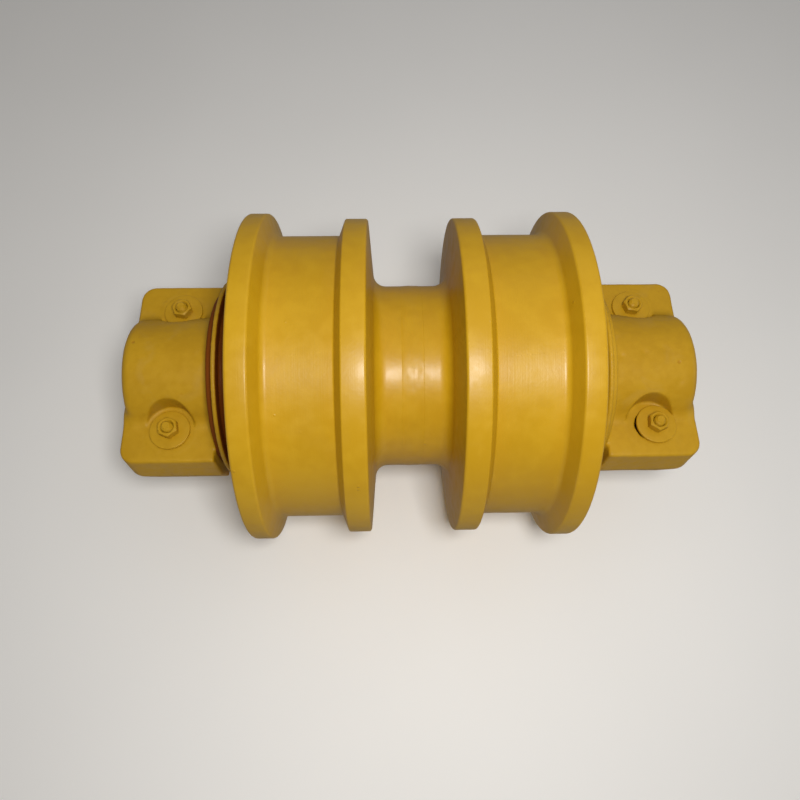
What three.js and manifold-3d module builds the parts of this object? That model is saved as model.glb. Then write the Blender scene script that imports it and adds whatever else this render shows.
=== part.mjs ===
// Track roller of a crawler undercarriage: a double-flange roller shell that turns on a fixed shaft,
// with a floating face seal and a bolted end collar at each end.
// Millimetres. The shaft lies along Y, the collars' mounting faces look down (-Z), and the origin is
// the middle of the shaft. "Left" is the -Y end and "right" is the +Y end.
import * as THREE from 'three';
import { ConvexGeometry } from 'three/addons/geometries/ConvexGeometry.js';
import { mergeVertices } from 'three/addons/utils/BufferGeometryUtils.js';
import Module from 'manifold-3d';

const wasm = await Module();
wasm.setup();

// ---- driving dimensions ----

const GAP = 0.3;                  // space left between pieces that touch
const ROUND_STEPS = 36;           // facets round the big turned pieces
const SMALL_STEPS = 24;           // facets round seals and o-rings
const BOLT_STEPS = 16;            // facets round bolts, washers and holes

const TREAD_R = 105;              // where the track links run
const OUTER_FLANGE_R = 121;
const INNER_FLANGE_R = 117;
const BARREL_R = 68;              // middle of the shell, between the inner flanges
const SHELL_END = 115;            // outer face of the outer flange, from the centre
const OUTER_RIM_IN = 101;         // inboard edge of the outer flange's rim
const TREAD_OUT = 93.5;           // outboard edge of the tread
const TREAD_IN = 51;              // inboard edge of the tread
const INNER_RIM_OUT = 46;         // outboard edge of the inner flange's rim
const INNER_RIM_IN = 30.2;        // inboard edge of the inner flange's rim
const FLANGE_ROOT = 27;           // where the inner flange's inboard face meets its fillet
const FLANGE_ROOT_R = 78;
const BARREL_END = 19.7;          // where the fillet meets the barrel
const FILLET_MID = 24.7;
const FILLET_MID_R = 71;
const TREAD_STEP = 1;             // chamfer between the tread and the inner flange
const TREAD_FILLET = 4;           // fillet between the tread and the outer flange
const TREAD_FILLET_RISE = 2;
const EDGE_ROUND = 2;             // rounding of the rims

const WELD_HALF = 7.5;            // half the width of the centre weld
const WELD_ROOT_R = 57;           // bottom of the weld groove
const WELD_PROUD = 0.6;

const HUB_R = 62;                 // the shell's seal housing, outboard of the outer flange
const HUB_END = 123.5;
const CAVITY_R = 53;              // oil cavity round the thrust shoulder
const CAVITY_HALF = 17.6;
const RELIEF_R = 46;              // oil space between the bushing and the seal
const RELIEF_START = 100;
const SEAL_BORE_R = 56.5;         // counterbore that holds each half of the seal
const SEAL_BORE_START = 109.7;

const SHAFT_R = 35;               // journal
const SHOULDER_R = 49;            // thrust shoulder
const SHOULDER_HALF = 11;
const SEAT_R = 30;                // where the collar sits
const SEAT_START = 126;
const SHAFT_END = 203;
const SHAFT_CHAMFER = 2;
const OIL_R = 6;                  // long drilling
const OIL_CROSS_R = 4;            // cross drillings to the bushings
const OIL_CROSS_AT = 60;
const PLUG_R = 9;
const PLUG_DEPTH = 16;
const PLUG_LENGTH = 12;
const PLUG_SOCKET = 8;            // across the flats
const PLUG_SOCKET_DEPTH = 6;

const BUSHING_R = 43;
const BUSHING_FLANGE_R = 48;
const BUSHING_FLANGE_END = 17;
const BUSHING_END = 98;

const SEAL_FACE = 124.5;          // where the two metal rings run on each other
const SEAL_RING_LENGTH = 11;
const SEAL_RING_IN_R = 41;
const SEAL_RING_BACK_R = 46;
const SEAL_RING_FACE_R = 53.5;
const SEAL_RING_RIM = 3.5;
const SEAL_RING_STEP = 1;
const SEAL_RING_TAPER = 0.6;      // how far the toric's seat slopes in
const TORIC_R = 4.4;              // section radius of the rubber ring
const TORIC_CENTRE_R = 51.4;
const TORIC_FROM_FACE = 9;

const COLLAR_START = 125.5;
const COLLAR_HOUSING_R = 64;      // the collar's seal housing
const SKIRT_R = 73;               // disc that shields the seal
const SKIRT_START = 131;
const SKIRT_END = 134.5;
const HOUSING_SHOULDER = 140.5;   // where the back of the housing starts to taper
const HOUSING_SHOULDER_R = 62;
const HOUSING_FOOT = 144;         // where it meets the barrel
const BODY_START = 140;
const COLLAR_BARREL_R = 46;       // the collar's round back, over the shaft
const COLLAR_BARREL_END_R = 44.5;
const COLLAR_END = 209;           // at the forging's parting line
const COLLAR_BARREL_END = 205.5;
const BARREL_ROUND = 7;
const PARTING_Z = -14;            // widest level of the lug block
const LUG_TOP_Z = 15.5;
const BASE_Z = -38;               // mounting face
const LUG_HALF = 73.5;            // half the width over the lugs, at the parting line
const TOP_DRAFT = 1.2;            // how far the block's sides come in at the top
const BASE_DRAFT = 6.5;           // and at the mounting face
const LUG_CORNER = 11;            // outboard corner rounding, seen from above
const LUG_INNER_CORNER = 2;       // and inboard
const SEAL_POCKET_END = 138;
const O_RING_AT = 146;
const O_RING_SECTION_R = 1.95;
const O_RING_GROOVE_R = 34.6;
const O_RING_GROOVE_HALF = 2.5;

const HOLE_AT = 173;              // mounting holes, from the centre along the shaft
const HOLE_SPACING = 97;
const HOLE_R = 11;
const SPOT_R = 18;                // spot faces under the outer washers
const DOWEL_R = 17;               // recess for a ring dowel in the mounting face
const DOWEL_DEPTH = 12;

const PIN_AT = 168;
const PIN_R = 6;
const PIN_BOTTOM_Z = -36;
const PIN_TOP_Z = -18;

const BOLT_R = 4;                 // M8 transit bolt
const BOLT_PROUD = 2.5;           // how far the bolt stands out of its nut
const BOLT_TIP_CHAMFER = 1;
const HEX_FLATS = 13;
const HEAD_HEIGHT = 5.3;
const NUT_HEIGHT = 6.5;
const WASHER_R = 14.4;
const INNER_WASHER_R = 12.2;
const WASHER_BORE_R = 4.5;
const WASHER_THICK = 2;
const LOOSE_SHIFT = 4;            // the right front bolt stands off centre in its hole, outwards

// ---- finishes ----

const paint = () => new THREE.MeshStandardMaterial({ color: 0xe0a010, roughness: 0.42, metalness: 0.0 });
const forgePaint = () => new THREE.MeshStandardMaterial({ color: 0xd09a14, roughness: 0.58, metalness: 0.0 });
const steel = () => new THREE.MeshStandardMaterial({ color: 0x8c8f92, roughness: 0.35, metalness: 0.9 });
const bronze = () => new THREE.MeshStandardMaterial({ color: 0xa9793f, roughness: 0.4, metalness: 0.8 });
const rubber = () => new THREE.MeshStandardMaterial({ color: 0x1b1b1c, roughness: 0.8, metalness: 0.0 });

// ---- solids ----

function solid(geometry) {
  const bare = geometry.clone();
  bare.deleteAttribute('normal');
  bare.deleteAttribute('uv');
  const merged = mergeVertices(bare, 1e-4);
  return new wasm.Manifold(new wasm.Mesh({
    numProp: 3,
    vertProperties: Float32Array.from(merged.attributes.position.array),
    triVerts: Uint32Array.from(merged.index.array),
  }));
}

function geometryOf(body) {
  const mesh = body.getMesh();
  const geometry = new THREE.BufferGeometry();
  geometry.setAttribute('position', new THREE.BufferAttribute(mesh.vertProperties, 3));
  geometry.setIndex(new THREE.BufferAttribute(mesh.triVerts, 1));
  geometry.computeVertexNormals();
  return geometry;
}

// A ring or solid of revolution about Y. Each profile point is [distance along Y, radius].
// The profile may be listed either way round: it is put in the order that points the faces out.
function turned(profile, steps) {
  let area = 0;
  profile.forEach(([y, r], i) => {
    const [nextY, nextR] = profile[(i + 1) % profile.length];
    area += r * nextY - nextR * y;
  });
  const ordered = area > 0 ? [...profile] : [...profile].reverse();
  const onAxis = ordered.some(([, r]) => r === 0);
  if (onAxis) {
    const start = ordered.findIndex(([, r], i) => r === 0 && ordered.at(i - 1)[1] === 0);
    ordered.push(...ordered.splice(0, start));
  } else {
    ordered.push(ordered[0]);
  }
  return new THREE.LatheGeometry(ordered.map(([y, r]) => new THREE.Vector2(r, y)), steps);
}

function arc(centreY, centreR, radius, fromDegrees, toDegrees, steps) {
  return Array.from({ length: steps + 1 }, (_, i) => {
    const angle = THREE.MathUtils.degToRad(fromDegrees + (toDegrees - fromDegrees) * i / steps);
    return [centreY + radius * Math.cos(angle), centreR + radius * Math.sin(angle)];
  });
}

// A round bar that stands along Z at (x, y).
function upright(radius, bottom, top, x, y, steps = BOLT_STEPS) {
  const bar = new THREE.CylinderGeometry(radius, radius, top - bottom, steps);
  return solid(bar.rotateX(Math.PI / 2).translate(x, y, (top + bottom) / 2));
}

function hexPrism(flats, bottom, top) {
  const hex = new THREE.CylinderGeometry(flats / Math.sqrt(3), flats / Math.sqrt(3), top - bottom, 6);
  return hex.rotateX(Math.PI / 2).translate(0, 0, (top + bottom) / 2);
}

// Radius of the corners of a round hole whose flats clear a round bar of the given radius.
const clearOf = (radius, steps) => (radius + GAP) / Math.cos(Math.PI / steps);

const model = new THREE.Group();

// side is -1 for the left end and +1 for the right end.
// A piece is drawn for the right end, and the left one is the same piece turned half round Z.
const SIDES = { left: -1, right: 1 };

function place(name, geometry, material, side = 1) {
  const mesh = new THREE.Mesh(geometry, material);
  mesh.name = name;
  mesh.rotation.z = side < 0 ? Math.PI : 0;
  model.add(mesh);
  return mesh;
}

// ---- roller shell ----

function shellProfile() {
  const bushingBore = clearOf(BUSHING_R, ROUND_STEPS);
  return [
    [GAP / 2, CAVITY_R],
    [GAP / 2, WELD_ROOT_R],
    [WELD_HALF, BARREL_R],
    [BARREL_END, BARREL_R],
    [FILLET_MID, FILLET_MID_R],
    [FLANGE_ROOT, FLANGE_ROOT_R],
    [INNER_RIM_IN, INNER_FLANGE_R - EDGE_ROUND],
    [INNER_RIM_IN + EDGE_ROUND, INNER_FLANGE_R],
    [INNER_RIM_OUT - EDGE_ROUND, INNER_FLANGE_R],
    [INNER_RIM_OUT, INNER_FLANGE_R - EDGE_ROUND],
    [TREAD_IN - TREAD_STEP, TREAD_R + TREAD_STEP],
    [TREAD_IN, TREAD_R],
    [TREAD_OUT, TREAD_R],
    [TREAD_OUT + TREAD_FILLET, TREAD_R + TREAD_FILLET_RISE],
    [OUTER_RIM_IN, OUTER_FLANGE_R - EDGE_ROUND],
    [OUTER_RIM_IN + EDGE_ROUND, OUTER_FLANGE_R],
    [SHELL_END - EDGE_ROUND, OUTER_FLANGE_R],
    [SHELL_END, OUTER_FLANGE_R - EDGE_ROUND],
    [SHELL_END, HUB_R],
    [HUB_END, HUB_R],
    [HUB_END, SEAL_BORE_R],
    [SEAL_BORE_START, SEAL_BORE_R],
    [SEAL_BORE_START, RELIEF_R],
    [RELIEF_START, RELIEF_R],
    [RELIEF_START, bushingBore],
    [CAVITY_HALF, bushingBore],
    [CAVITY_HALF, CAVITY_R],
  ];
}

function weldProfile() {
  const cap = WELD_HALF - GAP;
  return [
    [-GAP, WELD_ROOT_R + GAP],
    [-cap, BARREL_R],
    [-cap * 0.6, BARREL_R + WELD_PROUD],
    [cap * 0.6, BARREL_R + WELD_PROUD],
    [cap, BARREL_R],
    [GAP, WELD_ROOT_R + GAP],
  ];
}

function bushingProfile() {
  const bore = clearOf(SHAFT_R, ROUND_STEPS);
  return [
    [SHOULDER_HALF + GAP, bore],
    [SHOULDER_HALF + GAP, BUSHING_FLANGE_R],
    [BUSHING_FLANGE_END, BUSHING_FLANGE_R],
    [BUSHING_FLANGE_END, BUSHING_R],
    [BUSHING_END, BUSHING_R],
    [BUSHING_END, bore],
  ];
}

place('centre_weld_bead', turned(weldProfile(), ROUND_STEPS), paint());
for (const [end, side] of Object.entries(SIDES)) {
  place(`${end}_shell_half`, turned(shellProfile(), ROUND_STEPS), paint(), side);
  place(`${end}_bushing`, turned(bushingProfile(), ROUND_STEPS), bronze(), side);
}

// ---- floating face seals ----

// towards is -1 for the ring that turns with the shell and +1 for the one held by the collar.
function sealRing(towards) {
  const at = (fromFace, r) => [SEAL_FACE + towards * (GAP / 2 + fromFace), r];
  return turned([
    at(0, SEAL_RING_IN_R),
    at(0, SEAL_RING_FACE_R),
    at(SEAL_RING_RIM, SEAL_RING_FACE_R),
    at(SEAL_RING_RIM + SEAL_RING_STEP, SEAL_RING_BACK_R),
    at(SEAL_RING_LENGTH, SEAL_RING_BACK_R - SEAL_RING_TAPER),
    at(SEAL_RING_LENGTH, SEAL_RING_IN_R),
  ], SMALL_STEPS);
}

function toricRing(towards) {
  const ring = new THREE.TorusGeometry(TORIC_CENTRE_R, TORIC_R, 6, SMALL_STEPS);
  return ring.rotateX(Math.PI / 2).translate(0, SEAL_FACE + towards * TORIC_FROM_FACE, 0);
}

for (const [end, side] of Object.entries(SIDES)) {
  place(`${end}_rotating_seal_ring`, sealRing(-1), steel(), side);
  place(`${end}_static_seal_ring`, sealRing(1), steel(), side);
  place(`${end}_rotating_toric_ring`, toricRing(-1), rubber(), side);
  place(`${end}_static_toric_ring`, toricRing(1), rubber(), side);
}

// ---- shaft, with its oil drilling and plug ----

function shaftGeometry() {
  const half = [
    [SHOULDER_HALF, SHOULDER_R],
    [SHOULDER_HALF, SHAFT_R],
    [SEAT_START, SHAFT_R],
    [SEAT_START, SEAT_R],
    [SHAFT_END - SHAFT_CHAMFER, SEAT_R],
    [SHAFT_END, SEAT_R - SHAFT_CHAMFER],
    [SHAFT_END, 0],
  ];
  const mirrored = half.map(([y, r]) => [-y, r]).reverse();
  const oilBar = new THREE.CylinderGeometry(OIL_R, OIL_R, SHAFT_END + OIL_CROSS_AT + OIL_R, BOLT_STEPS);
  const plugHoleR = clearOf(PLUG_R, BOLT_STEPS);
  const plugHole = new THREE.CylinderGeometry(plugHoleR, plugHoleR, 2 * PLUG_DEPTH, BOLT_STEPS);
  let shaft = solid(turned([...mirrored, ...half], ROUND_STEPS))
    .subtract(solid(oilBar.translate(0, (SHAFT_END - OIL_CROSS_AT - OIL_R) / 2 + 1, 0)))
    .subtract(solid(plugHole.translate(0, SHAFT_END, 0)));
  for (const side of Object.values(SIDES)) {
    shaft = shaft
      .subtract(upright(OIL_CROSS_R, -2 * SHAFT_R, 2 * SHAFT_R, 0, side * OIL_CROSS_AT, 12))
      .subtract(upright(PIN_R + GAP, 2 * PIN_BOTTOM_Z, PIN_TOP_Z + GAP, 0, side * PIN_AT));
  }
  return geometryOf(shaft);
}

function plugGeometry() {
  const body = new THREE.CylinderGeometry(PLUG_R, PLUG_R, PLUG_LENGTH, BOLT_STEPS);
  const socket = new THREE.CylinderGeometry(
    PLUG_SOCKET / Math.sqrt(3), PLUG_SOCKET / Math.sqrt(3), 2 * PLUG_SOCKET_DEPTH, 6);
  const middle = SHAFT_END - PLUG_DEPTH + GAP + PLUG_LENGTH / 2;
  return geometryOf(solid(body.translate(0, middle, 0))
    .subtract(solid(socket.translate(0, middle + PLUG_LENGTH / 2, 0))));
}

place('axle_shaft', shaftGeometry(), steel());
place('oil_fill_plug', plugGeometry(), steel());

// ---- end collars ----

// Outline of the lug block at one level, pulled in by a draft.
function blockLevel(z, draft) {
  const halfX = LUG_HALF - draft;
  const end = COLLAR_END - draft;
  const ends = [[BODY_START, -1, LUG_INNER_CORNER], [end, 1, LUG_CORNER]];
  return [-1, 1].flatMap((signX) => ends.flatMap(([y, signY, corner]) => [0, 30, 60, 90].map((degrees) => {
    const angle = THREE.MathUtils.degToRad(degrees);
    return new THREE.Vector3(
      signX * (halfX - corner + corner * Math.cos(angle)),
      y - signY * corner + signY * corner * Math.sin(angle),
      z);
  })));
}

function collarOutside() {
  const block = new ConvexGeometry([
    ...blockLevel(BASE_Z, BASE_DRAFT),
    ...blockLevel(PARTING_Z, 0),
    ...blockLevel(LUG_TOP_Z, TOP_DRAFT),
  ]);
  const round = turned([
    [COLLAR_START, 0],
    [COLLAR_START, COLLAR_HOUSING_R],
    [SKIRT_START, COLLAR_HOUSING_R],
    [SKIRT_START, SKIRT_R],
    [SKIRT_END, SKIRT_R],
    [SKIRT_END, COLLAR_HOUSING_R],
    [HOUSING_SHOULDER, HOUSING_SHOULDER_R],
    [HOUSING_FOOT, COLLAR_BARREL_R],
    ...arc(COLLAR_BARREL_END - BARREL_ROUND, COLLAR_BARREL_END_R - BARREL_ROUND, BARREL_ROUND, 90, 0, 2),
    [COLLAR_BARREL_END, 0],
  ], ROUND_STEPS);
  const belowBase = new THREE.BoxGeometry(2 * LUG_HALF, COLLAR_END - BODY_START, LUG_HALF);
  belowBase.translate(0, (COLLAR_END + BODY_START) / 2 + 0.5, BASE_Z - LUG_HALF / 2);
  return solid(round).subtract(solid(belowBase)).add(solid(block));
}

function collarInside() {
  const bore = clearOf(SEAT_R, ROUND_STEPS);
  return solid(turned([
    [COLLAR_START - 1, 0],
    [COLLAR_START - 1, SEAL_BORE_R],
    [SEAL_POCKET_END, SEAL_BORE_R],
    [SEAL_POCKET_END, bore],
    [O_RING_AT - O_RING_GROOVE_HALF, bore],
    [O_RING_AT - O_RING_GROOVE_HALF, O_RING_GROOVE_R],
    [O_RING_AT + O_RING_GROOVE_HALF, O_RING_GROOVE_R],
    [O_RING_AT + O_RING_GROOVE_HALF, bore],
    [COLLAR_END + 1, bore],
    [COLLAR_END + 1, 0],
  ], ROUND_STEPS));
}

function collarGeometry() {
  let collar = collarOutside()
    .subtract(collarInside())
    .subtract(upright(PIN_R + GAP, 2 * BASE_Z, 0, 0, PIN_AT));
  for (const x of [-HOLE_SPACING / 2, HOLE_SPACING / 2]) {
    collar = collar
      .subtract(upright(HOLE_R, 2 * BASE_Z, 2 * LUG_TOP_Z, x, HOLE_AT))
      .subtract(upright(SPOT_R, LUG_TOP_Z, COLLAR_BARREL_R + 1, x, HOLE_AT))
      .subtract(upright(DOWEL_R, BASE_Z - 1, BASE_Z + DOWEL_DEPTH, x, HOLE_AT));
  }
  return geometryOf(collar);
}

function oRing() {
  const ring = new THREE.TorusGeometry((SEAT_R + O_RING_GROOVE_R) / 2, O_RING_SECTION_R, 6, SMALL_STEPS);
  return ring.rotateX(Math.PI / 2).translate(0, O_RING_AT, 0);
}

for (const [end, side] of Object.entries(SIDES)) {
  place(`${end}_end_collar`, collarGeometry(), forgePaint(), side);
  place(`${end}_collar_o_ring`, oRing(), rubber(), side);
  place(`${end}_lock_pin`, geometryOf(upright(PIN_R, PIN_BOTTOM_Z, PIN_TOP_Z, 0, PIN_AT)), steel(), side);
}

// ---- transit bolts, nuts and washers in the mounting holes ----

const innerWasherTop = BASE_Z + DOWEL_DEPTH - GAP;
const headTop = innerWasherTop - WASHER_THICK - GAP;
const outerWasherBottom = LUG_TOP_Z + GAP;
const nutBottom = outerWasherBottom + WASHER_THICK + GAP;
const boltTip = nutBottom + NUT_HEIGHT + BOLT_PROUD;

function boltGeometry() {
  const shank = new THREE.LatheGeometry([
    new THREE.Vector2(0, headTop - 1),
    new THREE.Vector2(BOLT_R, headTop - 1),
    new THREE.Vector2(BOLT_R, boltTip - BOLT_TIP_CHAMFER),
    new THREE.Vector2(BOLT_R - BOLT_TIP_CHAMFER, boltTip),
    new THREE.Vector2(0, boltTip),
  ], BOLT_STEPS);
  const head = hexPrism(HEX_FLATS, headTop - HEAD_HEIGHT, headTop);
  return geometryOf(solid(shank.rotateX(Math.PI / 2)).add(solid(head)));
}

function nutGeometry() {
  const bore = upright(clearOf(BOLT_R, BOLT_STEPS), nutBottom - 1, nutBottom + NUT_HEIGHT + 1, 0, 0);
  return geometryOf(solid(hexPrism(HEX_FLATS, nutBottom, nutBottom + NUT_HEIGHT)).subtract(bore));
}

function washerGeometry(radius, bottom) {
  return geometryOf(upright(radius, bottom, bottom + WASHER_THICK, 0, 0)
    .subtract(upright(WASHER_BORE_R, bottom - 1, bottom + WASHER_THICK + 1, 0, 0)));
}

// "front" is the lug on the +X side and "rear" the one on the -X side.
const LUGS = { front: 1, rear: -1 };
for (const [end, side] of Object.entries(SIDES)) {
  for (const [lug, signX] of Object.entries(LUGS)) {
    const shift = end === 'right' && lug === 'front' ? LOOSE_SHIFT : 0;
    const fittings = {
      transit_bolt: boltGeometry(),
      nut: nutGeometry(),
      outer_washer: washerGeometry(WASHER_R, outerWasherBottom),
      inner_washer: washerGeometry(INNER_WASHER_R, innerWasherTop - WASHER_THICK),
    };
    for (const [piece, geometry] of Object.entries(fittings)) {
      const mesh = place(`${end}_${lug}_${piece}`, geometry, forgePaint());
      mesh.position.set(signX * HOLE_SPACING / 2, side * (HOLE_AT + shift), 0);
    }
  }
}

export default model;
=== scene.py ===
"""The looks of the track roller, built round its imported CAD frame.

Metres. The shaft lies along Y, the mounting faces look down (-Z) and the nuts look up (+Z).
"Left" is the -Y end, "right" the +Y end, "front" the +X lugs and "rear" the -X lugs.
"""

import math

import bmesh
import bpy
import numpy as np
import openvdb
from mathutils import Matrix, Vector, noise


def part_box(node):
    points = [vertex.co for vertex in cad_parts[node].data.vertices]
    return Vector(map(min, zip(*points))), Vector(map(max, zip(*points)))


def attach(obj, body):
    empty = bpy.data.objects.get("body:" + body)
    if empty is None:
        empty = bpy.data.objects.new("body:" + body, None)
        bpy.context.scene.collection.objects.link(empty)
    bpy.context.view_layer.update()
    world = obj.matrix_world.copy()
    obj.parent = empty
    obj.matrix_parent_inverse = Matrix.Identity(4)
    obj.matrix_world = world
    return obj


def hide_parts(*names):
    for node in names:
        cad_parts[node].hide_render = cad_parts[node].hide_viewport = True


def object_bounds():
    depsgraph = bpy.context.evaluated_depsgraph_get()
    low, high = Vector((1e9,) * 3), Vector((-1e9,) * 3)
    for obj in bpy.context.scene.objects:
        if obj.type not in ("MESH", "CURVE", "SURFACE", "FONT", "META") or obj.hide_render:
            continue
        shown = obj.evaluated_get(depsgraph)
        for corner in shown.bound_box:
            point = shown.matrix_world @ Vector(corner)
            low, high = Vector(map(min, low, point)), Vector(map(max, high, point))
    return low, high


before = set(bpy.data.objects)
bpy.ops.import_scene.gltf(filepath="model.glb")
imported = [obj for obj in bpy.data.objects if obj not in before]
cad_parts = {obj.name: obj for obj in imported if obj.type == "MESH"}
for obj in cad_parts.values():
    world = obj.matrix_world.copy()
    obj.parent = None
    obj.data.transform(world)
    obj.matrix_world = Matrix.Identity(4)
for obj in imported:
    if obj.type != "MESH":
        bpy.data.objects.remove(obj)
CAD_LOW, CAD_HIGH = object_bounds()

MM = 0.001
SIDES = {"left": -1, "right": 1}

# ---- places taken from the frame ----

SHELL_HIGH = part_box("right_shell_half")[1]
COLLAR_LOW, COLLAR_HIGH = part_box("right_end_collar")
SHAFT_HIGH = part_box("axle_shaft")[1]
BUSHING_LOW, BUSHING_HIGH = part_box("right_bushing")
PLUG_LOW, PLUG_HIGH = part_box("oil_fill_plug")
PIN_LOW, PIN_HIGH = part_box("right_lock_pin")
O_RING_LOW, O_RING_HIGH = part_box("right_collar_o_ring")
WASHER_LOW, WASHER_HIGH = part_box("right_rear_outer_washer")
NUT_LOW, NUT_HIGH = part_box("right_rear_nut")
BOLT_LOW, BOLT_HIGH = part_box("right_rear_transit_bolt")
INNER_WASHER_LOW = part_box("right_rear_inner_washer")[0]

HOLE_X = -(WASHER_LOW.x + WASHER_HIGH.x) / 2
HOLE_Y = (WASHER_LOW.y + WASHER_HIGH.y) / 2
PIN_Y = (PIN_LOW.y + PIN_HIGH.y) / 2
O_RING_Y = (O_RING_LOW.y + O_RING_HIGH.y) / 2
FLOOR_Z = CAD_LOW.z

# ---- driving sizes of the turned pieces ----

GAP = 0.3 * MM
TREAD_R = 105 * MM
OUTER_FLANGE_R = SHELL_HIGH.z
INNER_FLANGE_R = 117 * MM
BARREL_R = 68 * MM
SHELL_END = 115 * MM
OUTER_RIM_IN = 101 * MM
TREAD_OUT = 95.6 * MM
TREAD_IN = 50.6 * MM
INNER_RIM_OUT = 46 * MM
INNER_RIM_IN = 30.2 * MM
FLANGE_FOOT = 26.1 * MM
HUB_R = 62 * MM
HUB_END = SHELL_HIGH.y
CAVITY_R = 53 * MM
CAVITY_HALF = 17.6 * MM
RELIEF_R = 46 * MM
RELIEF_START = 100 * MM
SEAL_BORE_R = 56.5 * MM
SEAL_BORE_START = 109.7 * MM
WELD_HALF = 7.5 * MM
WELD_ROOT_R = 57 * MM
SHAFT_R = 35 * MM
SEAT_R = 30 * MM
SEAT_START = 126 * MM
SHOULDER_R = SHAFT_HIGH.z
SHOULDER_HALF = 11 * MM
OIL_R = 6 * MM
OIL_CROSS_R = 4 * MM
OIL_CROSS_AT = 60 * MM
PLUG_HOLE_R = 9.4 * MM
BUSHING_R = 43 * MM
BUSHING_FLANGE_END = 17 * MM
SEAL_FACE = 124.5 * MM
SEAL_RING_LENGTH = 11 * MM
SEAL_RING_IN_R = 41 * MM
SEAL_RING_BACK_R = 46 * MM
SEAL_RING_FACE_R = 53.5 * MM
SEAL_RING_RIM = 3.5 * MM
TORIC_R = 4.4 * MM
TORIC_CENTRE_R = 51.4 * MM
TORIC_FROM_FACE = 9 * MM

# ---- driving sizes of the end collar ----

COLLAR_START = COLLAR_LOW.y
COLLAR_END = COLLAR_HIGH.y
LUG_HALF = COLLAR_HIGH.x
HOUSING_R = 64 * MM
SKIRT_R = 73 * MM
SKIRT_START = 131 * MM
SKIRT_END = 134.5 * MM
HOUSING_SHOULDER = 140.5 * MM
HOUSING_SHOULDER_R = 62 * MM
HOUSING_FOOT = 144 * MM
BODY_START = 140 * MM
BARREL_START_R = 46 * MM
BARREL_END_R = 44.5 * MM
BARREL_END = 205.5 * MM
BARREL_ROUND = 7 * MM
PARTING_Z = -14 * MM
LUG_TOP_Z = 15.5 * MM
BASE_Z = -38 * MM
TOP_DRAFT = 1.2 * MM
BASE_DRAFT = 6.5 * MM
LUG_CORNER = 11 * MM
LUG_INNER_CORNER = 2 * MM
TOP_EDGE = 2.2 * MM
BASE_EDGE = 3 * MM
BARREL_FILLET = 6 * MM
MACHINED_EDGE = 0.7 * MM
SEAL_POCKET_END = 138 * MM
O_RING_GROOVE_R = 34.6 * MM
O_RING_GROOVE_HALF = 2.5 * MM
O_RING_CENTRE_R = (SEAT_R + O_RING_GROOVE_R) / 2
O_RING_SECTION_R = 1.95 * MM
HOLE_R = 11 * MM
SPOT_R = 18 * MM
DOWEL_R = 17 * MM
DOWEL_DEPTH = 12 * MM
VOXEL = 1.2 * MM

# ---- mesh helpers ----


def rounded(corners, steps=6):
    """A closed outline from (along, radius, rounding) corners, with an arc at each rounded corner."""
    outline = []
    for i, (along, radius, rounding) in enumerate(corners):
        corner = Vector((along, radius))
        if not rounding:
            outline.append(corner)
            continue
        back = (Vector(corners[i - 1][:2]) - corner).normalized()
        ahead = (Vector(corners[(i + 1) % len(corners)][:2]) - corner).normalized()
        half = back.angle(ahead) / 2
        centre = corner + (back + ahead).normalized() * rounding / math.sin(half)
        start = corner + back * rounding / math.tan(half) - centre
        end = corner + ahead * rounding / math.tan(half) - centre
        first = math.atan2(start.y, start.x)
        turn = (math.atan2(end.y, end.x) - first + math.pi) % math.tau - math.pi
        for k in range(steps + 1):
            angle = first + turn * k / steps
            outline.append(centre + Vector((math.cos(angle), math.sin(angle))) * rounding)
    return outline


def finish_mesh(name, vertices, faces, smooth_angle=35):
    """A mesh object with its faces pointing out, smooth except at edges sharper than smooth_angle."""
    mesh = bpy.data.meshes.new(name)
    mesh.from_pydata([tuple(v) for v in vertices], [], [tuple(f) for f in faces])
    built = bmesh.new()
    built.from_mesh(mesh)
    bmesh.ops.remove_doubles(built, verts=built.verts, dist=1e-6)
    bmesh.ops.dissolve_degenerate(built, edges=built.edges, dist=1e-7)
    bmesh.ops.recalc_face_normals(built, faces=built.faces)
    built.to_mesh(mesh)
    built.free()
    mesh.shade_smooth()
    mesh.set_sharp_from_angle(angle=math.radians(smooth_angle))
    piece = bpy.data.objects.new(name, mesh)
    bpy.context.scene.collection.objects.link(piece)
    return piece


def swept(name, rings, closed=True, smooth_angle=35):
    """A mesh through rings of vertices, each an array of (steps, 3), joined all the way round."""
    count, steps = len(rings), len(rings[0])
    faces = []
    for i in range(count if closed else count - 1):
        here, after = i * steps, (i + 1) % count * steps
        for j in range(steps):
            k = (j + 1) % steps
            faces.append((here + j, here + k, after + k, after + j))
    return finish_mesh(name, np.concatenate(rings), faces, smooth_angle)


def revolved(name, outline, steps=192, axis="Y", at=(0, 0), wobble=None, smooth_angle=35):
    """A solid of revolution, about Y or the upright line through at, from an (along, radius) outline."""
    angle = np.linspace(0, math.tau, steps, endpoint=False)
    rings = []
    for along, radius in outline:
        reach = np.full(steps, radius) if wobble is None else radius + wobble(along, radius, angle)
        level = np.full(steps, along)
        if axis == "Y":
            rings.append(np.stack([reach * np.sin(angle), level, reach * np.cos(angle)], 1))
        else:
            rings.append(np.stack([at[0] + reach * np.cos(angle), at[1] + reach * np.sin(angle), level], 1))
    on_axis = outline[0][1] == 0
    return swept(name, rings, closed=not on_axis, smooth_angle=smooth_angle)


def turned_about(piece, side):
    """The left end is the right end turned half round Z."""
    if side < 0:
        piece.data.transform(Matrix.Rotation(math.pi, 4, "Z"))
    return piece


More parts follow.
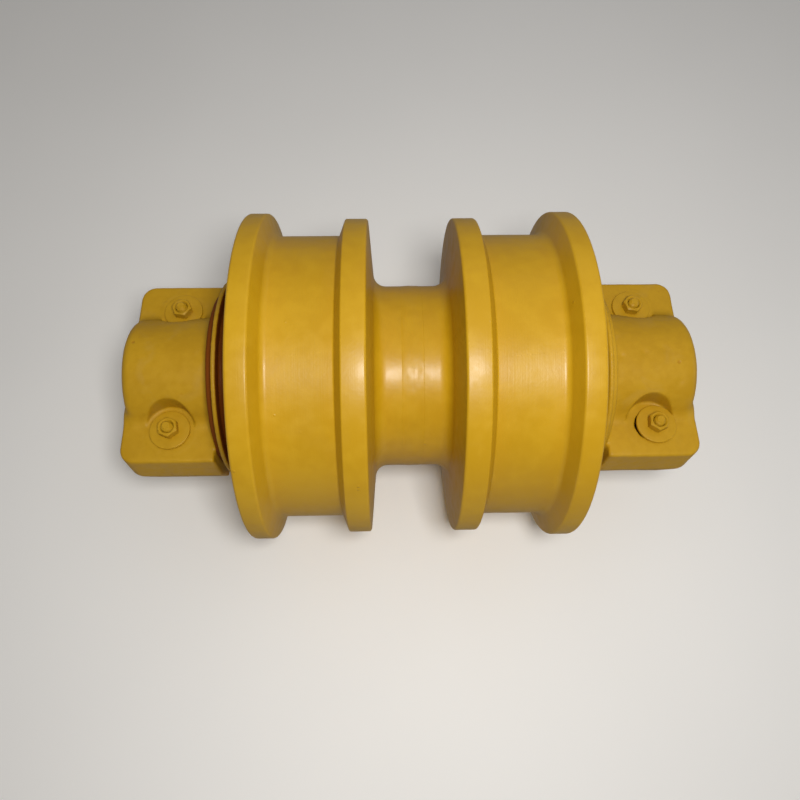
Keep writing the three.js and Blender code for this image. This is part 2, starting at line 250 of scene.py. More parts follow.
def cut_by(piece, cutters):
    for cutter in cutters:
        boolean = piece.modifiers.new("cut", "BOOLEAN")
        boolean.object = cutter
        boolean.solver = "EXACT"
        bpy.context.view_layer.update()
        cut = bpy.data.meshes.new_from_object(piece.evaluated_get(bpy.context.evaluated_depsgraph_get()))
        piece.modifiers.clear()
        piece.data = cut
        bpy.data.objects.remove(cutter)
    piece.data.shade_smooth()
    piece.data.set_sharp_from_angle(angle=math.radians(35))
    return piece


# ---- material helpers ----


def add(tree, kind, inputs=None, **properties):
    """A shader node. An input is a number, a colour or the socket that feeds it."""
    made = tree.nodes.new(kind)
    for key, value in properties.items():
        setattr(made, key, value)
    for key, value in (inputs or {}).items():
        if isinstance(value, bpy.types.NodeSocket):
            tree.links.new(value, made.inputs[key])
        else:
            made.inputs[key].default_value = value
    return made


def grain(tree, place, size, detail=2.0, distortion=0.0):
    """Noise whose features are about size metres across."""
    inputs = {"Vector": place, "Scale": 1 / size, "Detail": detail, "Distortion": distortion}
    return add(tree, "ShaderNodeTexNoise", inputs).outputs["Fac"]


def stretched(tree, place, scale):
    return add(tree, "ShaderNodeVectorMath", {0: place, 1: scale}, operation="MULTIPLY").outputs[0]


def calc(tree, operation, a, b=0.0, clamp=False):
    return add(tree, "ShaderNodeMath", {0: a, 1: b}, operation=operation, use_clamp=clamp).outputs[0]


def span(tree, value, low, high, to_low=0.0, to_high=1.0):
    """Maps low..high to to_low..to_high, smoothly and clamped."""
    return add(tree, "ShaderNodeMapRange",
               {"Value": value, "From Min": low, "From Max": high, "To Min": to_low, "To Max": to_high},
               interpolation_type="SMOOTHSTEP").outputs["Result"]


def mixed(tree, amount, first, second):
    return add(tree, "ShaderNodeMix", {0: amount, 6: first, 7: second}, data_type="RGBA").outputs[2]


def bumped(tree, height, distance, strength=1.0, under=None):
    inputs = {"Height": height, "Distance": distance, "Strength": strength}
    if under is not None:
        inputs["Normal"] = under
    return add(tree, "ShaderNodeBump", inputs).outputs["Normal"]


def distance_from_shaft(tree, place):
    flat = stretched(tree, place, (1, 0, 1))
    return add(tree, "ShaderNodeVectorMath", {0: flat}, operation="LENGTH").outputs["Value"]


def new_material(name):
    material = bpy.data.materials.new(name)
    material.use_nodes = True
    tree = material.node_tree
    shader = tree.nodes["Principled BSDF"]
    place = add(tree, "ShaderNodeTexCoord").outputs["Object"]
    return material, tree, shader, place


def feed(tree, shader, **sockets):
    """Sets or links sockets of the shader, named with _ for a space."""
    for key, value in sockets.items():
        socket = shader.inputs[key.replace("_", " ")]
        if isinstance(value, bpy.types.NodeSocket):
            tree.links.new(value, socket)
        else:
            socket.default_value = value


# ---- materials ----

ENAMEL_LIGHT = (0.525, 0.303, 0.007, 1)
ENAMEL_DEEP = (0.485, 0.272, 0.005, 1)
ENAMEL_THIN = (0.40, 0.175, 0.006, 1)
COLLAR_LIGHT = (0.490, 0.280, 0.009, 1)
COLLAR_DEEP = (0.445, 0.248, 0.007, 1)
# Red-brown primer colour, also used as painted shade: it darkens the left seal gap where the flange's shadow
# falls.
PRIMER_AND_SHADE = (0.14, 0.024, 0.004, 1)
DUST = (0.42, 0.30, 0.13, 1)
ENAMEL_SPECULAR = 0.5
PRIMER_AND_SHADE_SPECULAR = 0.1


def seal_gap_primer_and_shade(tree, place):
    """1 in the left seal gap: red-brown primer where the spray hardly reached, and painted shade where the
    flange's shadow falls, so it is kept to the left end. The skirt's rim and right gap keep their yellow
    enamel.
    """
    away = distance_from_shaft(tree, place)
    axes = add(tree, "ShaderNodeSeparateXYZ", {0: place}).outputs
    along = calc(tree, "ABSOLUTE", axes["Y"])
    near_axis = span(tree, away, SKIRT_R - 0.4 * MM, SKIRT_R - 1.2 * MM)
    past_shell = span(tree, along, SHELL_END - 0.2 * MM, SHELL_END + 0.6 * MM)
    before_body = span(tree, along, BODY_START + 0.2 * MM, BODY_START - 0.4 * MM)
    gap = calc(tree, "MULTIPLY", past_shell, before_body)
    above_lugs = span(tree, axes["Z"], LUG_TOP_Z + 1 * MM, LUG_TOP_Z + 3.5 * MM)
    off_barrel = span(tree, away, BARREL_START_R + 1 * MM, BARREL_START_R + 2 * MM)
    before_foot = span(tree, along, HOUSING_FOOT - 0.2 * MM, HOUSING_FOOT - 1 * MM)
    cone = calc(tree, "MULTIPLY", calc(tree, "MULTIPLY", off_barrel, before_foot), above_lugs)
    cone = calc(tree, "MULTIPLY", cone, past_shell)
    primer_and_shade = calc(tree, "MULTIPLY", calc(tree, "MAXIMUM", gap, cone), near_axis)
    # Left end only: there the flange's shadow falls in the gap, so this mask is painted shade as well as
    # primer.
    return calc(tree, "MULTIPLY", primer_and_shade, span(tree, axes["Y"], 1 * MM, -1 * MM))


def enamel():
    """Sprayed yellow enamel on the turned shell: slight runs, orange peel and turning marks under it."""
    material, tree, shader, place = new_material("roller_enamel")
    patches = grain(tree, place, 0.07, 3.0)
    mottle = grain(tree, place, 0.009, 3.0)
    tone = calc(tree, "ADD", calc(tree, "MULTIPLY", patches, 0.65), calc(tree, "MULTIPLY", mottle, 0.35))
    colour = mixed(tree, span(tree, tone, 0.38, 0.62), ENAMEL_DEEP, ENAMEL_LIGHT)
    thin = span(tree, grain(tree, stretched(tree, place, (1, 2.5, 1)), 0.03, 4.0), 0.60, 0.78, 0.0, 0.10)
    colour = mixed(tree, thin, colour, ENAMEL_THIN)
    dusty = span(tree, grain(tree, place, 0.045, 5.0, 0.6), 0.56, 0.74, 0.0, 0.05)
    colour = mixed(tree, dusty, colour, DUST)
    # The left seal gap turns red-brown: part primer, part painted shade of the flange's shadow.
    gap_primer_and_shade = calc(tree, "MULTIPLY", seal_gap_primer_and_shade(tree, place), 0.92)
    colour = mixed(tree, gap_primer_and_shade, colour, PRIMER_AND_SHADE)

    turning = grain(tree, stretched(tree, place, (0.6, 60, 0.6)), 0.06, 4.0)
    peel = grain(tree, place, 0.0022, 1.0)
    runs = grain(tree, place, 0.016, 2.0)
    specks = add(tree, "ShaderNodeTexVoronoi", {"Vector": place, "Scale": 1 / 0.011}).outputs["Distance"]
    rare = span(tree, grain(tree, place, 0.03, 1.0), 0.58, 0.66)
    pimples = calc(tree, "MULTIPLY", span(tree, specks, 0.11, 0.04), rare)
    normal = bumped(tree, turning, 0.00006, 0.8)
    normal = bumped(tree, peel, 0.00005, 0.9, normal)
    normal = bumped(tree, runs, 0.00014, 0.7, normal)
    normal = bumped(tree, pimples, 0.00035, 0.9, normal)
    roughness = span(tree, calc(tree, "ADD", mottle, dusty), 0.35, 0.85, 0.36, 0.50)
    specular = span(tree, gap_primer_and_shade, 0, 1, ENAMEL_SPECULAR, PRIMER_AND_SHADE_SPECULAR)
    feed(tree, shader, Base_Color=colour, Roughness=roughness, Normal=normal, Specular_IOR_Level=specular,
         Coat_Weight=0.06, Coat_Roughness=0.18, IOR=1.40)
    return material


def forged_enamel(name, light, deep, relief):
    """The same enamel on a raw forging: duller, with the scale and pits of the forging showing."""
    material, tree, shader, place = new_material(name)
    patches = grain(tree, place, 0.03, 4.0)
    mottle = grain(tree, place, 0.005, 3.0)
    tone = calc(tree, "ADD", calc(tree, "MULTIPLY", patches, 0.6), calc(tree, "MULTIPLY", mottle, 0.4))
    colour = mixed(tree, span(tree, tone, 0.36, 0.64), deep, light)
    dusty = span(tree, grain(tree, place, 0.02, 5.0, 0.8), 0.52, 0.72, 0.0, 0.09)
    colour = mixed(tree, dusty, colour, DUST)
    pits = add(tree, "ShaderNodeTexVoronoi", {"Vector": place, "Scale": 1 / 0.014}).outputs["Distance"]
    rare = span(tree, grain(tree, place, 0.02, 2.0), 0.55, 0.62)
    pitted = calc(tree, "MULTIPLY", span(tree, pits, 0.12, 0.05), rare)
    colour = mixed(tree, calc(tree, "MULTIPLY", pitted, 0.55), colour, ENAMEL_THIN)
    # The left seal gap turns red-brown: part primer, part painted shade of the flange's shadow.
    gap_primer_and_shade = calc(tree, "MULTIPLY", seal_gap_primer_and_shade(tree, place), 0.92)
    colour = mixed(tree, gap_primer_and_shade, colour, PRIMER_AND_SHADE)

    scale = grain(tree, place, 0.007, 4.0, 0.3)
    lumps = grain(tree, place, 0.022, 2.0)
    peel = grain(tree, place, 0.0018, 1.0)
    normal = bumped(tree, lumps, 0.0005 * relief, 0.8)
    normal = bumped(tree, scale, 0.00025 * relief, 0.7, normal)
    normal = bumped(tree, peel, 0.00005, 0.8, normal)
    normal = bumped(tree, calc(tree, "SUBTRACT", 1.0, pitted), 0.0004, 0.8, normal)
    roughness = span(tree, calc(tree, "ADD", mottle, dusty), 0.3, 0.9, 0.42, 0.66)
    specular = span(tree, gap_primer_and_shade, 0, 1, ENAMEL_SPECULAR, PRIMER_AND_SHADE_SPECULAR)
    feed(tree, shader, Base_Color=colour, Roughness=roughness, Normal=normal, Specular_IOR_Level=specular,
         Coat_Weight=0.03, Coat_Roughness=0.30, IOR=1.32)
    return material


def turned_metal(name, light, dark, roughness):
    """Turned or ground metal: fine marks round the axis, an oil film in patches and some staining."""
    material, tree, shader, place = new_material(name)
    marks = grain(tree, stretched(tree, place, (0.5, 90, 0.5)), 0.03, 5.0)
    stains = grain(tree, place, 0.02, 4.0, 0.5)
    tone = calc(tree, "ADD", calc(tree, "MULTIPLY", marks, 0.4), calc(tree, "MULTIPLY", stains, 0.6))
    colour = mixed(tree, span(tree, tone, 0.38, 0.62), dark, light)
    rough = span(tree, stains, 0.35, 0.65, roughness - 0.08, roughness + 0.12)
    normal = bumped(tree, marks, 0.00004, 0.7)
    feed(tree, shader, Base_Color=colour, Roughness=rough, Normal=normal, Metallic=1.0)
    return material


def seal_rubber():
    material, tree, shader, place = new_material("seal_rubber")
    bloom = grain(tree, place, 0.012, 4.0)
    colour = mixed(tree, span(tree, bloom, 0.4, 0.65), (0.012, 0.012, 0.013, 1), (0.035, 0.034, 0.033, 1))
    rough = span(tree, bloom, 0.35, 0.65, 0.55, 0.8)
    normal = bumped(tree, grain(tree, place, 0.0012, 2.0), 0.00004, 0.7)
    feed(tree, shader, Base_Color=colour, Roughness=rough, Normal=normal)
    return material


ROLLER_ENAMEL = enamel()
COLLAR_ENAMEL = forged_enamel("collar_enamel", COLLAR_LIGHT, COLLAR_DEEP, 1.0)
FASTENER_ENAMEL = forged_enamel("fastener_enamel", COLLAR_LIGHT, COLLAR_DEEP, 0.25)
STEEL = turned_metal("machined_steel", (0.56, 0.55, 0.53, 1), (0.36, 0.34, 0.31, 1), 0.34)
BRONZE = turned_metal("bearing_bronze", (0.60, 0.38, 0.17, 1), (0.42, 0.25, 0.10, 1), 0.38)
RUBBER = seal_rubber()


def settle(piece, node, body, material):
    """Gives a finished piece its material, its body and the CAD node that it stands for."""
    piece.data.materials.clear()
    piece.data.materials.append(material)
    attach(piece, body)
    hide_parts(node)
    return piece


# ---- roller shell ----


def shell_half(end, side):
    outline = rounded([
        (GAP / 2, CAVITY_R, 0),
        (GAP / 2, WELD_ROOT_R, 0),
        (WELD_HALF, BARREL_R, 0.3 * MM),
        (FLANGE_FOOT, BARREL_R, 9 * MM),
        (INNER_RIM_IN, INNER_FLANGE_R, 1.8 * MM),
        (INNER_RIM_OUT, INNER_FLANGE_R, 1.2 * MM),
        (TREAD_IN, TREAD_R, 1.5 * MM),
        (TREAD_OUT, TREAD_R, 5 * MM),
        (OUTER_RIM_IN, OUTER_FLANGE_R, 2 * MM),
        (SHELL_END, OUTER_FLANGE_R, 2.2 * MM),
        (SHELL_END, HUB_R, 2.5 * MM),
        (HUB_END, HUB_R, 1 * MM),
        (HUB_END, SEAL_BORE_R, 0.6 * MM),
        (SEAL_BORE_START, SEAL_BORE_R, 1.5 * MM),
        (SEAL_BORE_START, RELIEF_R, 0.5 * MM),
        (RELIEF_START, RELIEF_R, 1 * MM),
        (RELIEF_START, BUSHING_R + GAP, 0.5 * MM),
        (CAVITY_HALF, BUSHING_R + GAP, 0.5 * MM),
        (CAVITY_HALF, CAVITY_R, 1.5 * MM),
    ])
    piece = turned_about(revolved(f"{end}_shell_half_fine", outline, steps=256), side)
    settle(piece, f"{end}_shell_half", "roller_assembly", ROLLER_ENAMEL)


def weld_bead():
    """The centre weld, ground nearly flush: a low crown whose edges wander where it laps over the joint."""
    cap = WELD_HALF - GAP
    lap = WELD_HALF + 1.2 * MM
    crown = [(lap * t, BARREL_R - 0.25 * MM + 0.55 * MM * (1 - t * t)) for t in np.linspace(-1, 1, 33)]
    root = WELD_ROOT_R + GAP
    outline = [(-GAP, root), (-cap, BARREL_R - 0.4 * MM), *crown, (cap, BARREL_R - 0.4 * MM), (GAP, root)]

    def uneven(along, radius, angle):
        if radius < BARREL_R - 0.3 * MM:
            return np.zeros_like(angle)
        rough = [noise.noise(Vector((math.cos(a) * 11, along / (4 * MM), math.sin(a) * 11))) for a in angle]
        return np.array(rough) * 0.14 * MM

    piece = revolved("centre_weld_bead_fine", outline, steps=256, wobble=uneven)
    settle(piece, "centre_weld_bead", "roller_assembly", ROLLER_ENAMEL)


def bushing(end, side):
    bore = SHAFT_R + GAP
    outline = rounded([
        (BUSHING_LOW.y, bore, 0.6 * MM),
        (BUSHING_LOW.y, BUSHING_HIGH.z, 0.6 * MM),
        (BUSHING_FLANGE_END, BUSHING_HIGH.z, 0.6 * MM),
        (BUSHING_FLANGE_END, BUSHING_R, 0.3 * MM),
        (BUSHING_HIGH.y, BUSHING_R, 1 * MM),
        (BUSHING_HIGH.y, bore, 0.6 * MM),
    ], steps=3)
    piece = turned_about(revolved(f"{end}_bushing_fine", outline, steps=128), side)
    settle(piece, f"{end}_bushing", "roller_assembly", BRONZE)


# ---- floating face seals ----


def seal_half(end, side, kind, towards, body):
    """One metal ring and its rubber ring. towards is -1 on the shell's side and +1 on the collar's."""
    start = SEAL_FACE + towards * GAP / 2

    def at(from_face, radius, rounding):
        return (start + towards * from_face, radius, rounding)

    ring = rounded([
        at(0, SEAL_RING_IN_R, 0.4 * MM),
        at(0, SEAL_RING_FACE_R, 0.5 * MM),
        at(SEAL_RING_RIM, SEAL_RING_FACE_R, 0.5 * MM),
        at(SEAL_RING_RIM + 1 * MM, SEAL_RING_BACK_R, 0.5 * MM),
        at(SEAL_RING_LENGTH, SEAL_RING_BACK_R - 0.6 * MM, 0.5 * MM),
        at(SEAL_RING_LENGTH, SEAL_RING_IN_R, 0.4 * MM),
    ], steps=3)
    piece = turned_about(revolved(f"{end}_{kind}_seal_ring_fine", ring, steps=128), side)
    settle(piece, f"{end}_{kind}_seal_ring", body, STEEL)
    rubber_ring(f"{end}_{kind}_toric_ring", side, SEAL_FACE + towards * TORIC_FROM_FACE, TORIC_CENTRE_R,
                TORIC_R, body)


def rubber_ring(node, side, along, centre_r, section_r, body):
    around = np.linspace(0, math.tau, 16, endpoint=False)
    section = [(along + section_r * math.cos(a), centre_r + section_r * math.sin(a)) for a in around]
    piece = turned_about(revolved(f"{node}_fine", section, steps=128), side)
    settle(piece, node, body, RUBBER)


# ---- shaft, oil plug and lock pins ----


def upright_bar(radius, bottom, top, x, y):
    return revolved("cutter", [(bottom, 0), (bottom, radius), (top, radius), (top, 0)], 48, "Z", (x, y))


def shaft():
    end = SHAFT_HIGH.y
    blind = -(OIL_CROSS_AT + OIL_R)
    outline = rounded([
        (-end, 0, 0),
        (-end, SEAT_R, 1.6 * MM),
        (-SEAT_START, SEAT_R, 0.8 * MM),
        (-SEAT_START, SHAFT_R, 0.8 * MM),
        (-SHOULDER_HALF, SHAFT_R, 1.2 * MM),
        (-SHOULDER_HALF, SHOULDER_R, 0.8 * MM),
        (SHOULDER_HALF, SHOULDER_R, 0.8 * MM),
        (SHOULDER_HALF, SHAFT_R, 1.2 * MM),
        (SEAT_START, SHAFT_R, 0.8 * MM),
        (SEAT_START, SEAT_R, 0.8 * MM),
        (end, SEAT_R, 1.6 * MM),
        (end, PLUG_HOLE_R, 0.8 * MM),
        (PLUG_LOW.y - GAP, PLUG_HOLE_R, 0.5 * MM),
        (PLUG_LOW.y - GAP, OIL_R, 0.3 * MM),
        (blind, OIL_R, 0.3 * MM),
        (blind, 0, 0),
    ], steps=4)
    cutters = []
    for side in SIDES.values():
        cutters.append(upright_bar(OIL_CROSS_R, -2 * SHAFT_R, 2 * SHAFT_R, 0, side * OIL_CROSS_AT))
        cutters.append(upright_bar(PIN_HIGH.x + GAP, -2 * SHAFT_R, PIN_HIGH.z + GAP, 0, side * PIN_Y))
    piece = cut_by(revolved("axle_shaft_fine", outline, steps=160), cutters)
    settle(piece, "axle_shaft", "axle_assembly", STEEL)


def oil_plug():
    """A screwed plug with a hexagon socket and thread ridges on its side."""
    angle = np.linspace(0, math.tau, 96, endpoint=False)
    radius = PLUG_HIGH.z
    socket_depth = 6 * MM
    half_flats = 4 * MM
    pitch = 1.5 * MM
    low, high = PLUG_LOW.y, PLUG_HIGH.y

    def ring(along, reach):
        level = np.full(angle.shape, along)
        return np.stack([reach * np.sin(angle), level, reach * np.cos(angle)], 1)

    hexagon = half_flats / np.cos((angle + math.pi / 6) % (math.pi / 3) - math.pi / 6)
    rings = [ring(low, angle * 0), ring(low, angle * 0 + radius - 1 * MM)]
    for along in np.arange(low + 1 * MM, high - 1 * MM, pitch / 6):
        phase = (along / pitch + angle / math.tau) % 1
        rings.append(ring(along, radius - 0.7 * MM * np.abs(2 * phase - 1)))
    rings += [
        ring(high - 0.6 * MM, angle * 0 + radius - 0.5 * MM),
        ring(high, angle * 0 + radius - 1.1 * MM),
        ring(high, hexagon + 0.5 * MM),
        ring(high - 0.5 * MM, hexagon),
        ring(high - socket_depth, hexagon),
        ring(high - socket_depth - 1.5 * MM, angle * 0),
    ]
    piece = swept("oil_fill_plug_fine", rings, closed=False)
    settle(piece, "oil_fill_plug", "axle_assembly", STEEL)


def lock_pin(end, side):
    radius = PIN_HIGH.x
    outline = rounded([
        (PIN_LOW.z, 0, 0),
        (PIN_LOW.z, radius, 0.8 * MM),
        (PIN_HIGH.z, radius, 0.8 * MM),
        (PIN_HIGH.z, 0, 0),
    ], steps=4)
    piece = revolved(f"{end}_lock_pin_fine", outline, 64, "Z", (0, side * PIN_Y))
    settle(piece, f"{end}_lock_pin", "axle_assembly", STEEL)


# ---- end collars, drawn as distance fields so that their forged fillets run into each other ----


def join(a, b, fillet):
    """Two bodies joined with a round fillet. A field is negative inside its body."""
    corner = np.hypot(np.maximum(fillet - a, 0), np.maximum(fillet - b, 0))
    return np.maximum(fillet, np.minimum(a, b)) - corner


def meet(a, b, rounding):
    """What two bodies share, with its edge rounded."""
    corner = np.hypot(np.maximum(rounding + a, 0), np.maximum(rounding + b, 0))
    return np.minimum(-rounding, np.maximum(a, b)) + corner


def lug_block(x, y, z):
    draft = np.interp(z, [BASE_Z, PARTING_Z, LUG_TOP_Z], [BASE_DRAFT, 0, TOP_DRAFT])
    over_x = np.abs(x) - (LUG_HALF - draft - LUG_CORNER)
    over_y = y - (COLLAR_END - draft - LUG_CORNER)
    plan = np.hypot(np.maximum(over_x, 0), np.maximum(over_y, 0)) + np.minimum(np.maximum(over_x, over_y), 0)
    block = meet(plan - LUG_CORNER, BODY_START - y, LUG_INNER_CORNER)
    return meet(block, np.maximum(z - LUG_TOP_Z, -0.05), TOP_EDGE)


def collar_field(x, y, z):
    around = np.hypot(x, z)
    barrel_r = np.interp(y, [BODY_START, BARREL_END], [BARREL_START_R, BARREL_END_R])
    barrel = meet(around - barrel_r, y - BARREL_END, BARREL_ROUND)
    barrel = meet(barrel, BODY_START - y, 1.5 * MM)
    body = meet(join(lug_block(x, y, z), barrel, BARREL_FILLET), BASE_Z - z, BASE_EDGE)
    body = np.maximum(body, y - COLLAR_END)
    back_y, back_r = HOUSING_FOOT - HOUSING_SHOULDER, HOUSING_SHOULDER_R - BARREL_START_R
    taper = (y - HOUSING_SHOULDER) * back_r + (around - HOUSING_SHOULDER_R) * back_y
    taper = taper / math.hypot(back_y, back_r)
    housing = meet(around - HOUSING_R, COLLAR_START - y, 1 * MM)
    housing = meet(meet(housing, taper, 1.5 * MM), np.minimum(BASE_Z - z, y - HOUSING_SHOULDER), 0.5 * MM)
    skirt = meet(around - SKIRT_R, np.maximum(SKIRT_START - y, y - SKIRT_END), 0.8 * MM)
    field = join(join(body, housing, 1.2 * MM), skirt, 0.8 * MM)

    bore = around - SEAT_R - GAP
    pocket = np.maximum(around - SEAL_BORE_R, y - SEAL_POCKET_END)
    groove = np.maximum(around - O_RING_GROOVE_R, np.abs(y - O_RING_Y) - O_RING_GROOVE_HALF)
    pin_hole = np.maximum(np.hypot(x, y - PIN_Y) - PIN_HIGH.x - GAP, z)
    for hollow in (bore, pocket, groove, pin_hole):
        field = meet(field, -hollow, MACHINED_EDGE)
    from_hole = np.hypot(np.abs(x) - HOLE_X, y - HOLE_Y)
    spot_face = np.maximum(from_hole - SPOT_R, LUG_TOP_Z - z)
    recess = np.maximum(from_hole - DOWEL_R, z - BASE_Z - DOWEL_DEPTH)
    for hollow in (spot_face, recess, from_hole - HOLE_R):
        field = meet(field, -hollow, MACHINED_EDGE)
    return field


def collar_mesh(name):
    low = np.array([-LUG_HALF, COLLAR_START, -SKIRT_R]) - 2.5 * VOXEL
    high = np.array([LUG_HALF, COLLAR_END, SKIRT_R]) + 2.5 * VOXEL
    counts = np.ceil((high - low) / VOXEL).astype(int) + 1
    steps = [low[i] + VOXEL * np.arange(counts[i]) for i in range(3)]
    x, y, z = np.meshgrid(*steps, indexing="ij", sparse=True)
    grid = openvdb.FloatGrid(background=3 * VOXEL)
    grid.copyFromArray(np.clip(collar_field(x, y, z), -3 * VOXEL, 3 * VOXEL).astype(np.float32))
    points, quads = grid.convertToQuads(isovalue=0.0)
    return finish_mesh(name, points * VOXEL + low, quads, smooth_angle=50)


# Dents knocked into the right collar's barrel: (along the shaft, degrees towards the front, size)
DENTS = ((166 * MM, 6, 2.6 * MM), (181 * MM, 2, 3.4 * MM), (191 * MM, 33, 2.4 * MM), (149 * MM, 9, 2.2 * MM))


def weathered(piece, seed, dents):
    """Smooths out the sampling, then lowers the raw forged skin a little, unevenly. Machined faces stay."""
    built = bmesh.new()
    built.from_mesh(piece.data)
    every_axis = {"use_axis_x": True, "use_axis_y": True, "use_axis_z": True}
    bmesh.ops.smooth_vert(built, verts=built.verts, factor=0.5, **every_axis)
    built.normal_update()
    shift = Vector((seed, 0, 0))
    for vertex in built.verts:
        x, y, z = vertex.co
        around = math.hypot(x, z)
        from_hole = math.hypot(abs(x) - HOLE_X, abs(y) - HOLE_Y)
        machined = z < BASE_Z + 1 * MM or around < SEAT_R + 2 * MM or from_hole < SPOT_R + 0.5 * MM
        if machined or abs(y) < BODY_START:
            continue
        swell = 0.5 + 0.5 * noise.noise(vertex.co / (24 * MM) + shift)
        scale = 0.5 + 0.5 * noise.noise(vertex.co / (7 * MM) + shift)
        depth = 0.5 * MM * swell + 0.18 * MM * scale
        for along, degrees, size in dents:
            turn = math.radians(degrees)
            centre = Vector((math.sin(turn), 0, math.cos(turn))) * BARREL_START_R + Vector((0, along, 0))
            depth += 0.9 * MM * math.exp(-((vertex.co - centre).length / size) ** 2)
        vertex.co -= vertex.normal * depth
    built.to_mesh(piece.data)
    built.free()
    piece.data.shade_smooth()
    return piece


def end_collar(end, side):
    piece = turned_about(collar_mesh(f"{end}_end_collar_fine"), side)
    weathered(piece, 3.7 * side, DENTS if side > 0 else ())
    settle(piece, f"{end}_end_collar", "axle_assembly", COLLAR_ENAMEL)


# ---- transit bolts, nuts and washers, painted over where they sit ----

HEX_HALF = 6.5 * MM
BOLT_R = 4 * MM
PITCH = 1.25 * MM
CHAMFER_SLOPE = math.tan(math.radians(30))


def hex_rings(x, y, angle, chamfered, plain, turn):
    """Rings of a hexagon with one chamfered end, from its plain end to its chamfered end."""
    up = math.copysign(1, chamfered - plain)
    reach = HEX_HALF / np.cos((angle + turn + math.pi / 6) % (math.pi / 3) - math.pi / 6)
    reach = np.minimum(reach, HEX_HALF * 1.135)
    start = HEX_HALF * 0.94

    def ring(radius, level):
        return np.stack([x + radius * np.cos(angle), y + radius * np.sin(angle), angle * 0 + level], 1)

    fall = (reach - start) * CHAMFER_SLOPE
    return ring, [
        ring(reach - 0.4 * MM, plain),
        ring(reach, plain + up * 0.4 * MM),
        ring(reach, chamfered - up * (fall + 0.15 * MM)),
        ring(reach - 0.2 * MM, chamfered - up * fall),
        ring(angle * 0 + start, chamfered),
    ]


def nut(node, x, y, turn):
    angle = np.linspace(0, math.tau, 120, endpoint=False)
    ring, sides = hex_rings(x, y, angle, NUT_HIGH.z, NUT_LOW.z, turn)
    bore = angle * 0 + BOLT_R + GAP
    countersink = 0.9 * MM
    rings = [ring(bore, NUT_LOW.z), *sides]
    rings += [ring(bore + countersink, NUT_HIGH.z), ring(bore, NUT_HIGH.z - countersink)]
    piece = swept(f"{node}_fine", rings, smooth_angle=28)
    settle(piece, node, "axle_assembly", FASTENER_ENAMEL)


def transit_bolt(node, x, y, turn):
    """A hexagon head below and a threaded shank whose end stands out of the nut."""
    angle = np.linspace(0, math.tau, 96, endpoint=False)
    head_top = INNER_WASHER_LOW.z - GAP
    ring, sides = hex_rings(x, y, angle, BOLT_LOW.z, head_top, turn)
    rings = [ring(angle * 0, BOLT_LOW.z), *reversed(sides), ring(angle * 0 + BOLT_R, head_top)]
    thread_start = NUT_LOW.z - 8 * MM
    tip = BOLT_HIGH.z - 1.2 * MM
    rings.append(ring(angle * 0 + BOLT_R, thread_start - 0.3 * MM))
    for level in np.arange(thread_start, tip, PITCH / 6):
        phase = (level / PITCH + angle / math.tau) % 1
        rings.append(ring(BOLT_R - 0.55 * MM * np.abs(2 * phase - 1), level))
    rings += [
        ring(angle * 0 + BOLT_R - 0.6 * MM, tip + 0.2 * MM),
        ring(angle * 0 + BOLT_R - 1.5 * MM, BOLT_HIGH.z),
        ring(angle * 0, BOLT_HIGH.z),
    ]
    piece = swept(f"{node}_fine", rings, closed=False, smooth_angle=28)
    settle(piece, node, "axle_assembly", FASTENER_ENAMEL)


def washer(node, x, y):
    low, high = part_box(node)
    outer = (high.x - low.x) / 2
    bore = BOLT_R + 0.6 * MM
    outline = rounded([
        (low.z, bore, 0.2 * MM),
        (low.z, outer, 0.3 * MM),
        (high.z, outer, 0.7 * MM),
        (high.z, bore, 0.5 * MM),
    ], steps=4)
    piece = revolved(f"{node}_fine", outline, 96, "Z", (x, y))
    settle(piece, node, "axle_assembly", FASTENER_ENAMEL)


def lug_fittings(end, lug, turn):
    """The four fittings of one hole. A loose bolt stands off the middle of its hole, as its box says."""
    name = f"{end}_{lug}"
    low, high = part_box(f"{name}_outer_washer")
    x, y = (low.x + high.x) / 2, (low.y + high.y) / 2
    washer(f"{name}_outer_washer", x, y)
    washer(f"{name}_inner_washer", x, y)
    nut(f"{name}_nut", x, y, turn)
    transit_bolt(f"{name}_transit_bolt", x, y, turn * 2)


# ---- assembly ----

weld_bead()
shaft()
oil_plug()
TURNS = iter((0.35, 0.12, 0.62, 0.20))
for end, side in SIDES.items():
    shell_half(end, side)
    bushing(end, side)
    seal_half(end, side, "rotating", -1, "roller_assembly")
    seal_half(end, side, "static", 1, "axle_assembly")
    end_collar(end, side)
    lock_pin(end, side)
    rubber_ring(f"{end}_collar_o_ring", side, O_RING_Y, O_RING_CENTRE_R, O_RING_SECTION_R, "axle_assembly")
    for lug in ("front", "rear"):
        lug_fittings(end, lug, next(TURNS))

# ---- floor, lights and camera ----


def floor():
    """A pale floor that glossy rays pass through, so that its reflection doesn't grey the lower edges."""
    half = 3.0
    corners = [(-half, -half, 0), (half, -half, 0), (half, half, 0), (-half, half, 0)]
    piece = finish_mesh("floor", [Vector(c) + Vector((0, 0, FLOOR_Z)) for c in corners], [(0, 1, 2, 3)])
    material, tree, shader, place = new_material("pale_floor")
    shade = grain(tree, place, 0.5, 3.0)
    colour = mixed(tree, span(tree, shade, 0.3, 0.7), (0.90, 0.90, 0.90, 1), (0.94, 0.94, 0.94, 1))
    feed(tree, shader, Base_Color=colour, Roughness=0.7)
    piece.data.materials.append(material)
    piece.visible_glossy = False


def area_light(name, place, target, size, energy, colour):
    light = bpy.data.lights.new(name, "AREA")
    light.size = size
    light.energy = energy
    light.color = colour
    holder = bpy.data.objects.new(name, light)
    holder.location = place
    holder.rotation_euler = (Vector(target) - Vector(place)).to_track_quat("-Z", "Y").to_euler()
    bpy.context.scene.collection.objects.link(holder)


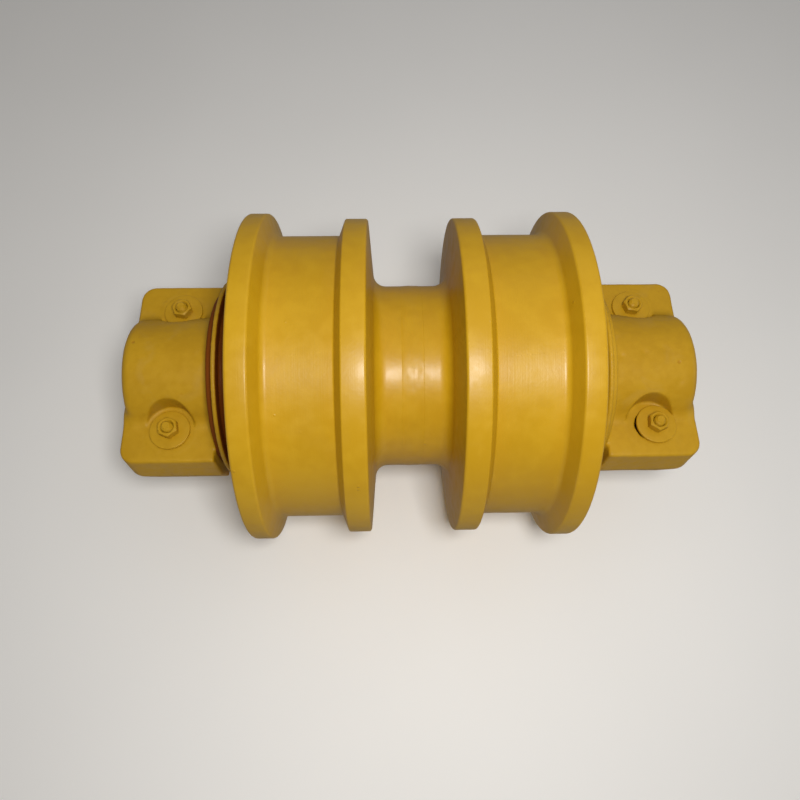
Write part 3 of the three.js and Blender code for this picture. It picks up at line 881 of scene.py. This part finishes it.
MIDDLE = (0, 0, 0)
CAMERA_HEIGHT_ANGLE = math.radians(65)
CAMERA_LENS = 30.76
SENSOR_WIDTH = 36
CAMERA_DISTANCE = 0.5259
CAMERA_ASIDE = -0.0190
CAMERA_YAW, CAMERA_PITCH, CAMERA_ROLL = 0.0215, 0.0352, 0.0111
AHEAD = Vector((-math.cos(CAMERA_HEIGHT_ANGLE), 0, -math.sin(CAMERA_HEIGHT_ANGLE)))
RIGHT = Vector((0, 1, 0))
UP = RIGHT.cross(AHEAD)


def camera():
    data = bpy.data.cameras.new("camera")
    data.lens = CAMERA_LENS
    data.sensor_width = SENSOR_WIDTH
    data.clip_start = 0.01
    holder = bpy.data.objects.new("camera", data)
    aim = Matrix((RIGHT, UP, -AHEAD)).transposed()
    aim = aim @ Matrix.Rotation(-CAMERA_YAW, 3, "Y")
    aim = aim @ Matrix.Rotation(-CAMERA_PITCH, 3, "X")
    aim = aim @ Matrix.Rotation(-CAMERA_ROLL, 3, "Z")
    holder.matrix_world = Matrix.Translation(RIGHT * CAMERA_ASIDE - AHEAD * CAMERA_DISTANCE) @ aim.to_4x4()
    bpy.context.scene.collection.objects.link(holder)
    bpy.context.scene.camera = holder


def lights():
    world = bpy.data.worlds.new("studio")
    world.use_nodes = True
    backdrop = world.node_tree.nodes["Background"]
    backdrop.inputs["Color"].default_value = (1.0, 0.96, 0.90, 1)
    backdrop.inputs["Strength"].default_value = 0.22
    bpy.context.scene.world = world
    eye = -AHEAD * CAMERA_DISTANCE
    area_light("key", eye * 1.25 + RIGHT * 0.05 + UP * 0.03, MIDDLE, 0.14, 3.3, (1.0, 0.97, 0.92))
    area_light("top_soft", UP * 0.9 - AHEAD * 0.7 + RIGHT * 0.3, MIDDLE, 1.2, 1.4, (0.93, 0.96, 1.0))
    area_light("side_fill", RIGHT * 1.1 - AHEAD * 0.35, MIDDLE, 0.5, 1.0, (1.0, 0.98, 0.95))


floor()
camera()
lights()
bpy.context.scene.view_settings.view_transform = "Standard"
